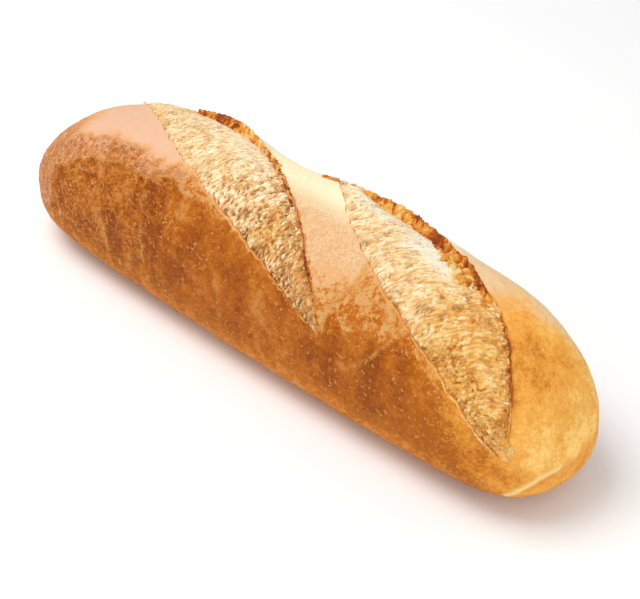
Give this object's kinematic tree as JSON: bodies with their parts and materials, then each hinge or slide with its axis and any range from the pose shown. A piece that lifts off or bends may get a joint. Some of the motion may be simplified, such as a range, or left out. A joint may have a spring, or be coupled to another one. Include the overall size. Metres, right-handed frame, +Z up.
{
  "type": "baguette",
  "caption": "Short baguette loaf: a rounded golden crust on a flat base, with slanting scores that open over pale crumb under raised, craggy ears.",
  "frame": {"origin": "middle of the flat base, on the surface that the loaf rests on", "axes": "+X along the loaf, towards the end that the second score runs out at; -Y the near side, which both scores run down; +Z up"},
  "size_m": [0.25, 0.0654, 0.0626],
  "materials": {
    "bread": null
  },
  "bodies": {
    "root": {"loaf": "bread"}
  },
  "joints": []
}
